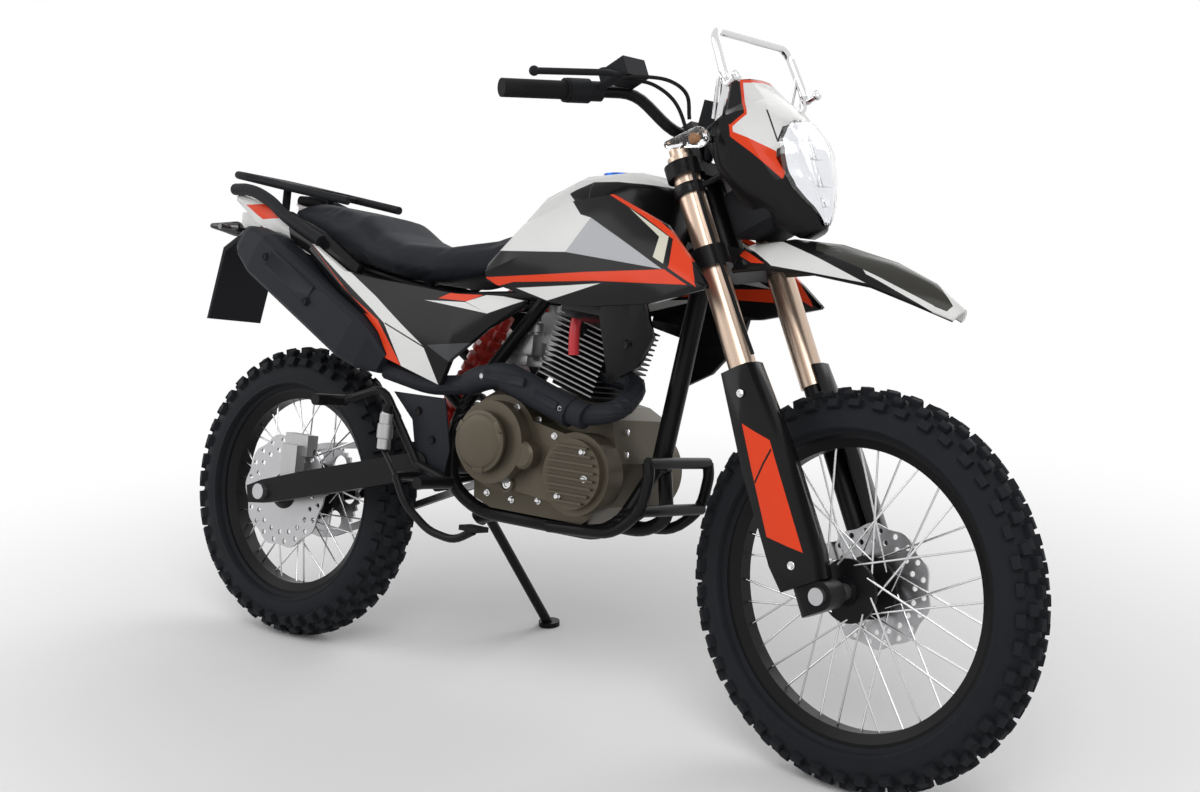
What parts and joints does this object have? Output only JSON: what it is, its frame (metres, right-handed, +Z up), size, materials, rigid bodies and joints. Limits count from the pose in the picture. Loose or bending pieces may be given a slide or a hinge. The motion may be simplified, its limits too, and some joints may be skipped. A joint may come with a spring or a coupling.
{
  "type": "motorcycle",
  "caption": "Dual-sport motorcycle with wire wheels, long-travel fork, tall bar, stepped seat and a tubular rear rack, leaning on its side stand",
  "frame": {"origin": "on the ground below the middle of the leaning bike", "axes": "+X forwards along the wheelbase, +Y to the left of the rider, +Z up"},
  "size_m": [2.0732, 0.8306, 1.3091],
  "materials": {
    "gloss_black": "gloss",
    "black_frame": "satin",
    "exhaust_black": "matt",
    "white_plastic": "gloss",
    "blue_cap": "gloss",
    "seat_cover": "satin",
    "case_bronze": "satin",
    "barrel_black": "satin",
    "cast_alloy": "satin",
    "fork_bronze": "gloss",
    "steel": "satin",
    "bright_steel": "gloss",
    "shock_red": "gloss",
    "rubber": "matt",
    "tyre": "matt",
    "black_plastic": "matt",
    "clear_lens": "gloss",
    "red_lens": "gloss"
  },
  "bodies": {
    "chassis": {"frame": "black_frame", "engine_case": "case_bronze", "clutch_cover": "case_bronze", "cylinder_barrel": "barrel_black", "carburettor": "cast_alloy", "exhaust_header": "exhaust_black", "silencer": "exhaust_black", "engine_guard": "black_frame", "fuel_tank": "white_plastic", "fuel_cap": "blue_cap", "tank_shrouds": "gloss_black", "seat": "seat_cover", "side_panels": "gloss_black", "tail_fairing": "white_plastic", "rear_rack": "black_frame", "rear_lamps": "red_lens", "rear_mudguard": "gloss_black", "swingarm": "black_frame", "rear_axle": "steel", "rear_shock": "shock_red", "rear_caliper": "cast_alloy", "chain": "steel", "foot_pegs": "black_frame", "brake_pedal": "black_frame", "gear_lever": "steel"},
    "fork": {"fork_clamps": "black_frame", "fork_tubes": "fork_bronze", "fork_lowers": "black_frame", "fork_guards": "gloss_black", "front_axle": "steel", "front_caliper": "cast_alloy", "handlebar": "black_frame", "grips": "rubber", "controls": "black_plastic", "instruments": "black_plastic", "headlight_mask": "white_plastic", "headlight_lens": "clear_lens", "front_fender": "gloss_black", "accessory_rack": "bright_steel", "front_signals": "clear_lens"},
    "front_wheel": {"front_tyre": "tyre", "front_rim": "black_frame", "front_hub": "black_frame", "front_spokes": "bright_steel", "front_disc": "steel"},
    "rear_wheel": {"rear_tyre": "tyre", "rear_rim": "black_frame", "rear_hub": "black_frame", "rear_spokes": "bright_steel", "rear_disc": "steel", "rear_sprocket": "steel"},
    "side_stand": {"side_stand": "black_frame"}
  },
  "joints": [
    {"name": "steering", "type": "hinge", "parent": "chassis", "child": "fork", "pos_m": [0.63267, -0.17599, 0.31985], "axis": [-0.4384, 0.1869, 0.8792], "range_deg": [-33, 47]},
    {"name": "front_wheel_spin", "type": "hinge", "parent": "fork", "child": "front_wheel", "pos_m": [0.68709, -0.17774, 0.34736], "axis": [0.1095, 0.982, -0.1541], "continuous": true},
    {"name": "rear_wheel_spin", "type": "hinge", "parent": "chassis", "child": "rear_wheel", "pos_m": [-0.7125, -0.17592, 0.32019], "axis": [0, 0.9781, -0.2079], "continuous": true},
    {"name": "stand_fold", "type": "hinge", "parent": "chassis", "child": "side_stand", "pos_m": [-0.2855, -0.0402, 0.30459], "axis": [0, 0.9192, 0.3937], "range_deg": [0, 88]}
  ]
}
